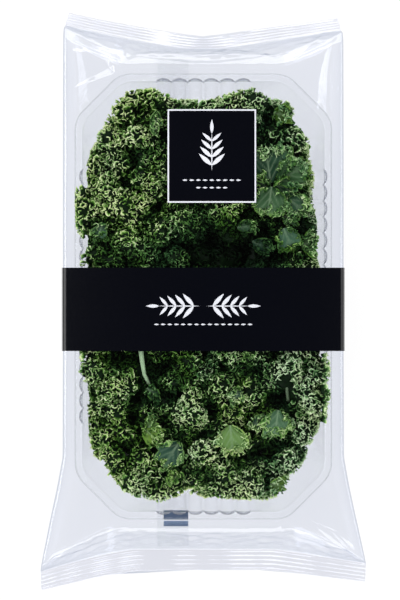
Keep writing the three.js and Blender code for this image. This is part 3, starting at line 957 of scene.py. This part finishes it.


# A curl's cross-section, from its foot round over its edge: height share, side and colour share. The colour
# share is painted shade at the foot and partly a painted highlight at the edge.
CURL_SECTION = [(0.0, 0.0, 0.06), (0.72, 1.0, 0.56), (1.0, 0.0, 1.0), (0.78, -1.0, 0.64)]
CURL_STEPS = 5
CURL_POINTS = CURL_STEPS * len(CURL_SECTION)
CURL_SUNK = 0.8  # how far its foot is sunk in the skin


def curls(place, normal, rng, length, height, width):
    """Short closed frills that stand on a skin, each with its own bend, height and lean."""
    count = len(place)
    across = unit(np.cross(normal, rng.normal(size=(count, 3))))
    along = np.cross(normal, across)
    reach = np.linspace(-0.5, 0.5, CURL_STEPS)
    bend = rng.uniform(-4.4, 4.4, (count, 1))
    heading = bend * reach + rng.normal(size=(count, 1)) * 1.3 * np.sin(reach * 2 * math.pi)
    ahead = across[:, None] * np.cos(heading)[..., None] + along[:, None] * np.sin(heading)[..., None]
    side = np.cross(ahead, normal[:, None])
    path = np.cumsum(ahead, axis=1)
    path = (path - path.mean(axis=1, keepdims=True)) * length / CURL_STEPS
    path = place[:, None] + path * rng.uniform(0.65, 1.35, (count, 1, 1))
    tall = height * rng.uniform(0.6, 1.35, (count, 1)) * (0.7 + 0.3 * np.cos(reach * math.pi))
    tall = tall * (1 + 0.16 * rng.normal(size=tall.shape))
    flare = np.tanh(bend * 1.5) * rng.uniform(0.15, 0.95, (count, 1)) * height
    lean = rng.normal(size=(count, 1, 3)) * 0.22 * height + side * flare[..., None]
    # A random lightness for each curl; taller curls are made lighter still, which is painted light.
    shine = rng.uniform(0.64, 1.30, tall.shape) * rng.uniform(0.84, 1.16, (count, 1))
    thick = width * rng.uniform(0.8, 1.2, (count, 1)) * (0.6 + 0.4 * np.cos(reach * math.pi))
    ring, tint = [], []
    for rise, beside, colour in CURL_SECTION:
        sunk = CURL_SUNK if rise == 0 else 0
        line = path + normal[:, None] * (tall * rise - sunk)[..., None] + lean * rise**1.5
        ring.append(line + side * (thick * beside / 2)[..., None])
        tint.append(colour * shine * (0.8 + 0.2 * tall / height))
    around = len(CURL_SECTION)
    last = CURL_POINTS - around
    one = np.concatenate([
        strip_faces(CURL_STEPS, around, wrap=True),
        [[0, 3, 2, 1], [last, last + 1, last + 2, last + 3]],
    ])
    quads = (np.arange(count) * CURL_POINTS)[:, None, None] + one
    points, tints = np.stack(ring, axis=2), np.stack(tint, axis=2)
    return points.reshape(-1, 3), quads.reshape(-1, 4)[:, ::-1], tints.reshape(-1)


def curl_greens(points, rng):
    """How yellow the curls are: fresh green at the head's left, bluer towards the right and the band."""
    x, y = points[:, 0], points[:, 1]
    lean = 0.54 - 0.0035 * x + 0.14 * ease((y - 20) / 40) * ease(-x / 40)
    return np.clip(lean + 0.20 * waves(rng, 46)(points) + 0.12 * waves(rng, 15)(points), 0, 1)


def patches(x, y):
    """How much lighter or darker than plain each place is, by the painted shade and painted light of the
    patches.
    """
    tone = np.ones(len(x))
    for *place, radius, change in SHADE_PATCHES:
        tone *= 1 + change * bump_at(x, y, place, radius)
    return tone


def beside_tray(points):
    """How near the tray's wall or floor the points lie, below its rim: 1 against it, 0 well inside."""
    x, y, z = points.T
    half_x, half_y = well_half(z)
    gap_x = half_x - np.abs(x)
    gap_y = half_y - np.abs(y - TRAY_MIDDLE[1]) - END_GAP
    beside = (1 - ease(np.minimum(gap_x, gap_y) / 16)) * ease((RIM_TOP - 4 - z) / 6)
    return np.maximum(beside, 1 - ease((z - TRAY_FLOOR - 5) / 6))


def kept_whole(points):
    """Keeps curls from being torn at the rim: those over it are lifted, those beside it pressed in."""
    x, y, z = points.T.copy()
    rise = (held_in(points)[:, 2] - z).reshape(-1, CURL_POINTS)
    torn = np.ptp(rise, axis=1) > TORN
    over = np.abs(x).reshape(-1, CURL_POINTS).mean(axis=1) > OVER_RIM
    z += (rise.max(axis=1) * (torn & over)).repeat(CURL_POINTS)
    beside = (torn & ~over).repeat(CURL_POINTS)
    x = np.where(beside, np.sign(x) * squeeze(np.abs(x), OVER_RIM, 1.5), x)
    return np.stack([x, y, z], axis=1)


def curled(skin, rng, settings, keep):
    """Curls all over a skin, with their factors: lower ones are darker than those near the film, as painted
    shade.
    """
    place, normal = spots_on(*skin, rng, settings["spacing"])
    kept = keep(place, normal)
    place, normal = place[kept], normal[kept]
    sizes = settings["length"], settings["height"], settings["width"]
    points, quads, tint = curls(place, normal, rng, *sizes)
    points = kept_whole(points)
    depth = film_height(points[:, 0], points[:, 1]) - points[:, 2]
    rim = ease(outline_depth(place[:, 0], place[:, 1]) / 9).repeat(CURL_POINTS)
    beside = beside_tray(points)
    # Painted shade: curls deeper under the film are darker, less so near the outline and the tray. Painted
    # light: curls near the outline and near the tray's wall and floor are lighter.
    depth_shade = 0.86 * ease((depth - 1.8) / 7.5) * (0.25 + 0.75 * rim) * (1 - 0.85 * beside)
    lit = 1.35 - 0.24 * rim - depth_shade + 0.25 * beside
    # Painted shade and painted light from a random wave and the listed patches.
    patch_shade = (1 + 0.11 * waves(rng, 12)(points)) * patches(points[:, 0], points[:, 1])
    frill = np.clip(tint * lit * patch_shade, 0, 1)
    return points, quads, factors(len(points), frill=frill, fresh=curl_greens(points, rng))


def curly_part(mounds, rng, settings, keep):
    """The curled part of a leaf: a skin over its mounds and the curls that stand on it."""
    skin = skin_over(mounds, settings["skin"])
    points, _, faces = skin
    # Painted shade: the skin between the curls is near black; painted light makes it lighter near the
    # tray's wall and floor.
    shade = factors(len(points), fresh=0.5, frill=0.05 + 0.57 * beside_tray(points))
    return [(points, faces, shade), curled(skin, rng, settings, keep)]


def fan_kind(reach):
    return OPEN_FAN if reach > OPEN_REACH else SMALL_FAN


def on_fans(x, y):
    """Which places lie on a fan's smooth blade, seen from above."""
    found = np.zeros(len(x), bool)
    for fan_x, fan_y, heading, reach, spread, *_ in FANS:
        turn = math.radians(heading)
        along = ((x - fan_x) * math.cos(turn) + (y - fan_y) * math.sin(turn)) / reach
        aside = np.abs((y - fan_y) * math.cos(turn) - (x - fan_x) * math.sin(turn))
        bare = fan_kind(reach)["bare"]
        half = lobe_width(along) * reach * spread / 200
        found |= (along > 0.05) & (along < bare + 0.04) & (aside < half * bare)
    for line, *_ in STEMS:
        route = np.array(line[1:4])
        for mid_x, mid_y in (route[1:, :2] + route[:-1, :2]) / 2:
            found |= np.hypot(x - mid_x, y - mid_y) < 4.5
    return found


def lobe_width(along):
    """How wide a lobe of blade is at each share of its length, against its widest."""
    return np.sin(math.pi * np.clip(along, 0, 1) ** 1.25) ** 0.62


def field(wave, x, y):
    """A wave's value at places given as grids."""
    return wave(np.dstack([x, y, x * 0]).reshape(-1, 3)).reshape(x.shape)


def fan_grid(row, ahead, beside, wide, rng):
    """A fan's upper face as a grid, with the share along it, its veins and its ruffled part."""
    x, y, _, reach, _, depth, _, _ = row
    kind = fan_kind(reach)
    rows, columns = max(10, int(reach / BLADE_GRID)), max(10, int(2 * wide / BLADE_GRID))
    along, across = np.meshgrid(np.linspace(0.03, 0.985, rows), np.linspace(-1, 1, columns), indexing="ij")
    margin = waves(rng, 5, 16)
    out = np.abs(across)
    shape = lobe_width(along) * wide
    flat = along[..., None] * reach * ahead + (across * shape)[..., None] * beside
    flat *= 1 + (kind["wobble"] * field(margin, flat[..., 0], flat[..., 1]) * out)[..., None]
    px, py = x + flat[..., 0], y + flat[..., 1]
    midrib = np.exp(-((across * shape / 0.5) ** 2)) * (1.0 - 0.55 * along)
    branch = (along * reach - out * shape * 1.5 + 8.4) / VEIN_PITCH
    off_branch = np.abs(branch - np.round(branch)) * VEIN_PITCH * 0.55
    side_vein = np.exp(-((off_branch / 0.42) ** 2)) * 0.6 * (1 - out)
    on_vein = np.maximum(midrib, side_vein)
    spent = np.clip(np.maximum(out**2, (along - 0.55) / 0.45), 0, 1)
    ruffle = field(waves(rng, 6, 20), px, py) * 1.8 * spent**2
    trough = shape * out**1.3 * rng.uniform(0.10, 0.28)
    arch = 2.2 * along - rng.uniform(0.0, 2.5) * along**3
    pucker = 0.35 * np.cos(branch * 2 * math.pi) * (1 - out)
    low = film_height(px, py) - depth * 0.6 - kind["sunk"]
    top = np.dstack([px, py, low + trough + arch - pucker + ruffle + 0.25 * on_vein])
    return top, along, on_vein, spent


def fan(row, rng):
    """A smooth lobe of blade: a raised midrib and side veins, and a ruffled margin that carries curls."""
    x, y, heading, reach, spread, _, fresh, light = row
    kind = fan_kind(reach)
    wide = reach * spread / 200
    ahead = np.array([math.cos(math.radians(heading)), math.sin(math.radians(heading))])
    beside = np.array([-ahead[1], ahead[0]])
    top, along, on_vein, spent = fan_grid(row, ahead, beside, wide, rng)
    normal = unit(np.cross(np.gradient(top, axis=0), np.gradient(top, axis=1)))
    normal *= np.sign(normal[..., 2:])
    points, faces = closed_sheet(top, top - normal * BLADE)
    along, on_vein, spent = [np.tile(grid.reshape(-1), 2) for grid in (along, on_vein, spent)]
    rim = ease((spent - 0.55) / 0.45)
    # Painted shade and painted light from the patches over the whole fan, and painted shade on its blade
    # towards the base.
    shade = patches(points[:, 0], points[:, 1])
    blade = factors(
        len(points),
        vein=np.clip(on_vein * 0.55 * shade, 0, 1),
        blade=1 - 0.6 * rim,
        fresh=np.clip(fresh + 0.5 * rim, 0, 1),
        light=np.clip((light - 0.28 + 0.48 * along) * shade, 0, 1),
        frill=0.65 * shade,
    )

    def on_margin(places, normals):
        from_base = places[:, :2] - (x, y)
        share = from_base @ ahead / reach
        edge = np.abs(from_base @ beside) / (lobe_width(share) * wide + 0.01)
        return ((share > kind["tip"]) | (edge > kind["side"])) & (normals[:, 2] > 0)

    both = np.concatenate([normal.reshape(-1, 3), -normal.reshape(-1, 3)])
    margin_curls = curled((points, both, faces), rng, CURLS[3], on_margin)
    margin_curls[2][:, FACTORS.index("frill")] *= 0.88
    return [(points, faces[:, ::-1], blade), margin_curls]


def stalk(route, radii, vein):
    """A closed round stalk along a route, tapering from its first radius to its last."""
    sides = 10
    route, radii = np.array(route, float), np.array(radii, float)
    ahead = unit(np.gradient(route, axis=0))
    across = unit(np.cross(ahead, (0, 0, 1)))
    up = np.cross(across, ahead)
    turn = np.linspace(0, 2 * math.pi, sides, endpoint=False)[:, None]
    spokes = across[:, None] * np.cos(turn) + up[:, None] * np.sin(turn)
    rings = route[:, None] + radii[:, None, None] * spokes
    faces = strip_faces(len(route), sides, wrap=True)
    last = (len(route) - 1) * sides
    half = sides // 2
    caps = []
    for step in range(half - 1):
        band = np.array([step, step + 1, sides - 2 - step, sides - 1 - step])
        caps += [band[::-1], band + last]
    points = rings.reshape(-1, 3)
    return points, np.concatenate([faces, np.array(caps)])[:, ::-1], factors(len(points), vein=vein)


def leaf_stalk(low, high, head):
    """The thick midrib on the underside of a leaf that lies lower in the pack."""
    middle, level = (low[0] + high[0]) / 2, (low[2] + high[2]) / 2
    base, tip = (8.0, high[1] - 22) if head else (-18.0, low[1] + 22)
    share = np.linspace(0, 1, 9)
    sway = 3.0 * np.sin(share * 3 + middle)
    route = np.stack([middle + sway, base + (tip - base) * share, level - 5.2 + 2.4 * share**2], axis=1)
    return stalk(route, 2.6 - 1.7 * share, 0.9)


def open_stem(line, first, last, pale):
    """A stem that shows between the curls."""
    x, y, depth = np.array(line, float).T
    route = np.stack([x, y, film_height(x, y) - depth], axis=1)
    return stalk(route, np.linspace(first, last, len(route)), pale)


def plain_mounds(rng, low, high, head, pitch):
    """Mounds over a leaf that lies lower in the pack, within the outline of its blade."""
    middle, half = (low[0] + high[0]) / 2, (high[0] - low[0]) / 2
    tip, base = (high[1], 2.0) if head else (low[1], -10.0)
    level = (low[2] + high[2]) / 2
    length = abs(tip - base)
    mounds = []
    for along in np.arange(pitch * 0.4, length - 2, pitch * 0.86):
        share = along / length
        wide = half * math.sin(math.pi * min(share, 1) ** 0.78) ** 0.6
        steps = max(1, round(2 * wide / pitch))
        for step in range(steps):
            x = middle + (step + 0.5 - steps / 2) * 2 * wide / steps + rng.normal() * 1.4
            y = base + math.copysign(along, tip - base) + rng.normal() * 1.4
            size = rng.uniform(0.62, 0.85) * pitch
            turn = Euler(rng.uniform(-0.5, 0.5, 3))
            place = np.array([x, y, level + rng.uniform(-2, 2)])
            mounds.append((place, size * np.array([1, rng.uniform(0.75, 1), 0.55]), turn))
    return mounds


def clump_centres(rng, left, span_y):
    """Middles of the clumps that a top leaf's curls gather in."""
    pitch = CLUMP["pitch"]
    rows = np.arange(span_y[0], span_y[1] + pitch, pitch * 0.86)
    grid = np.array([
        (x0 + (row % 2) * pitch / 2, y0) for row, y0 in enumerate(rows) for x0 in np.arange(4, 90, pitch)
    ])
    grid = grid + rng.normal(size=grid.shape) * pitch * 0.16
    return grid * (-1 if left else 1, 1)


def edge_spots(inset, pitch):
    """Evenly spaced spots along the outline, a little inside it."""
    closed = np.vstack([KALE_OUTLINE, KALE_OUTLINE[:1]]).astype(float)
    run = np.concatenate([[0], np.cumsum(np.linalg.norm(np.diff(closed, axis=0), axis=1))])
    at = np.arange(0, run[-1] - pitch / 2, pitch)
    spots = np.stack([np.interp(at, run, closed[:, axis]) for axis in (0, 1)], axis=1)
    ahead = unit(np.roll(spots, -1, axis=0) - np.roll(spots, 1, axis=0))
    return spots + ahead[:, ::-1] * (1, -1) * inset


def fan_clearance(x, y):
    """How far a place lies outside the nearest fan, and how deep that fan lies under the film."""
    best = (99.0, 0.0)
    for fan_x, fan_y, heading, reach, spread, depth, _, _ in FANS:
        swing = min(spread, 120) / 360
        mid_x = fan_x + math.cos(math.radians(heading)) * reach * 0.5
        mid_y = fan_y + math.sin(math.radians(heading)) * reach * 0.5
        best = min(best, (math.hypot(x - mid_x, y - mid_y) - reach * (0.45 + swing * 0.4), depth))
    return best


def top_mounds(rng, low, high, head, pitch):
    """Mounds of a leaf at the top of the pack: they fill its quarter of the outline up to the film."""
    left = (low[0] + high[0]) / 2 < 0
    span_y = (0, 132) if head else (-122, -8)
    clumps = clump_centres(rng, left, span_y)
    spots = []
    for row, y0 in enumerate(np.arange(span_y[0], span_y[1], pitch * 0.86)):
        for x0 in np.arange(pitch * 0.25 + (row % 2) * pitch / 2, 82, pitch):
            x, y = (-x0 if left else x0) + rng.normal() * 1.6, y0 + rng.normal() * 1.6
            if outline_depth(np.array([x]), np.array([y]))[0] > pitch * 1.1:
                spots.append((x, y))
    for x, y in edge_spots(6.4, pitch * 0.75):
        if (x < 0) == left and span_y[0] - 3 < y < span_y[1] + 8:
            spots.append((x, y))
    mounds = []
    for x, y in spots:
        size = rng.uniform(0.6, 0.85) * pitch
        turn = Euler(rng.uniform(-0.5, 0.5, 3))
        shape = size * np.array([1, rng.uniform(0.7, 1), rng.uniform(0.55, 0.8)])
        lift = rng.uniform(-1.2, 1.2)
        if any(math.hypot(x - a, y - b) < r for a, b, r in HOLLOWS):
            continue
        off = np.hypot(*(clumps - (x, y)).T).min() / CLUMP["radius"]
        drop = CLUMP["drop"] * min(off * off, 1.6) + 1.0
        drop *= 1 - FULLER["share"] * bump_at(x, y, FULLER["place"], FULLER["radius"])
        clearance, fan_depth = fan_clearance(x, y)
        drop = max(drop, (6.0 + fan_depth) * min(1, 1.6 - clearance / 5))
        crown = film_height(x, y) - shape[2]
        mounds.append((np.array([x, y, crown - drop + lift]), shape, turn))
    return mounds


def hidden_above(points):
    """Which points lie well under a label, where nothing shows from above."""
    x, y = points[:, 0], points[:, 1]
    band_low, band_high = node_box("band_label")
    low, high = node_box("front_label")
    under_band = (y > band_low[1] + 5) & (y < band_high[1] - 5)
    under_front = (x > low[0] + 6) & (x < high[0] - 6) & (y > low[1] + 6) & (y < high[1] - 6)
    return under_band | under_front


def seen_past_top(points):
    """Which points of a lower leaf show between the leaves at the top."""
    x, y = points[:, 0], points[:, 1]
    gap = np.min([np.hypot(x - a, y - b) - r for a, b, r in HOLLOWS], axis=0)
    return ((gap < 5) | (np.abs(x) < 9) | (outline_depth(x, y) < 10)) & ~hidden_above(points)


def near_wall(points):
    """Which points lie near the tray's wall, through which they show."""
    half_x, half_y = well_half(points[:, 2])
    return (np.abs(points[:, 0]) > half_x - 20) | (np.abs(points[:, 1] - TRAY_MIDDLE[1]) > half_y - 29)


BETWEEN_LEVELS = [14, 25, 36]  # heights between the four levels of leaves
# How finely each level is made, from the bottom of the pack up.
CURLS = [
    {"mound": 13, "skin": 2.4, "spacing": 2.8, "length": 4.0, "height": 2.6, "width": 0.8},
    {"mound": 13, "skin": 2.6, "spacing": 2.9, "length": 4.2, "height": 2.6, "width": 0.8},
    {"mound": 11, "skin": 2.0, "spacing": 2.56, "length": 4.0, "height": 2.4, "width": 0.8},
    {"mound": 9.5, "skin": 1.6, "spacing": 1.78, "length": 2.35, "height": 2.0, "width": 0.54},
]
# Which places of each level carry curls, by their points and normals.
SHOWN = [
    lambda p, n: (n[:, 2] < 0.3) & (near_wall(p) | (np.arange(len(p)) % 3 == 0)),
    lambda p, n: near_wall(p),
    lambda p, n: (n[:, 2] > -0.2) & seen_past_top(p),
    lambda p, n: (n[:, 2] > -0.3) & ~hidden_above(p) & ~on_fans(p[:, 0], p[:, 1]),
]


def kale_leaf(name):
    """A leaf of one of the four levels, in the place of its CAD node."""
    low, high = node_box(name)
    head = name.endswith("head")
    left = low[0] + high[0] < 0
    rng = np.random.default_rng(100 + int(name.split("_")[2]))
    level = int(np.searchsorted(BETWEEN_LEVELS, (low[2] + high[2]) / 2))
    settings = CURLS[level]
    layout = top_mounds if level == 3 else plain_mounds
    parts = curly_part(layout(rng, low, high, head, settings["mound"]), rng, settings, SHOWN[level])
    if level == 3:
        for row in FANS:
            if (row[0] < 0) == left and (row[1] > 0) == head:
                parts += fan(row, rng)
        parts += [open_stem(*row) for row in STEMS if not head and (row[0][0][0] < 0) == left]
    else:
        parts.append(leaf_stalk(low, high, head))
    points, faces, table = join(parts)
    stand_in(make(name + "_curls", held_in(points), faces, [KALE], table), name)


for name in sorted(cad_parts):
    if name.startswith("kale"):
        kale_leaf(name)

# ---- Camera, lights and floor --------------------------------------------------------------

VIEW_MIDDLE = (-1.98, 0.6)  # what lies in the middle of the view
VIEW_HEIGHT = 360.0  # how much of the pack's length fills the view, at the level of the rim
CAMERA_AWAY = 2400.0  # how far the camera stands above the rim

camera = bpy.data.cameras.new("camera")
camera.sensor_fit = "VERTICAL"
camera.sensor_height = 36
camera.lens = camera.sensor_height * CAMERA_AWAY / VIEW_HEIGHT
camera.clip_end = 20
eye = bpy.data.objects.new("camera", camera)
eye.location = (VIEW_MIDDLE[0] * MM, VIEW_MIDDLE[1] * MM, (RIM_TOP + CAMERA_AWAY) * MM)
bpy.context.collection.objects.link(eye)
scene = bpy.context.scene
scene.camera = eye


def softbox(name, place, size, power):
    """A rectangular softbox that faces the pack."""
    light = bpy.data.lights.new(name, "AREA")
    light.shape = "RECTANGLE"
    light.size, light.size_y = size
    light.energy = power
    lamp = bpy.data.objects.new(name, light)
    lamp.location = place
    lamp.rotation_euler = (Vector((0, 0, 0.02)) - Vector(place)).to_track_quat("-Z", "Y").to_euler()
    bpy.context.collection.objects.link(lamp)


softbox("left_softbox", (-1.1, 0.25, 0.95), (0.9, 0.9), 16)
softbox("right_softbox", (1.15, 0.1, 0.85), (0.9, 0.9), 9)
softbox("head_softbox", (0.1, 1.25, 0.66), (1.4, 1.15), 22)
softbox("foot_softbox", (0.0, -1.25, 0.66), (1.4, 1.15), 20)
softbox("head_left_softbox", (-0.74, 1.00, 1.08), (0.42, 0.42), 2)
softbox("foot_left_softbox", (-0.80, -0.95, 0.85), (0.6, 0.6), 3)
softbox("foot_right_softbox", (0.85, -0.90, 0.85), (0.6, 0.6), 3)

world = bpy.data.worlds.new("studio")
world.use_nodes = True
background = world.node_tree.nodes["Background"].inputs
background["Color"].default_value = (1, 1, 1, 1)
background["Strength"].default_value = 0.02
scene.world = world
scene.view_settings.view_transform = "Standard"
scene.cycles.transparent_max_bounces = 24


def floor_finish():
    paint = Paint("studio_floor")
    base = paint.node("ShaderNodeBsdfDiffuse", None, {"Color": (0.10, 0.10, 0.10, 1)})
    glow = paint.node("ShaderNodeEmission", None, {"Color": (1, 1, 1, 1), "Strength": 0.90})
    both = paint.node("ShaderNodeAddShader", None, {0: base.outputs[0], 1: glow.outputs[0]})
    return paint.finish(both)


def studio_floor():
    """A round floor that curves up far away, so that it is pale behind the pack in low views too."""
    sides, reach, curve = 96, 8000.0, 1500.0
    turn = np.linspace(0, 2 * math.pi, sides, endpoint=False)
    rise = np.linspace(0, math.pi / 2, 13)
    radius = np.concatenate([[900.0], reach + curve * np.sin(rise)])[:, None]
    height = np.concatenate([[0.0], curve * (1 - np.cos(rise))])[:, None] - 0.3
    rings = np.dstack([radius * np.cos(turn), radius * np.sin(turn), height + turn * 0])
    faces = [np.arange(sides)[None], strip_faces(len(radius), sides, wrap=True)[:, ::-1]]
    return make("studio_floor", rings.reshape(-1, 3), faces, [floor_finish()])


studio_floor()
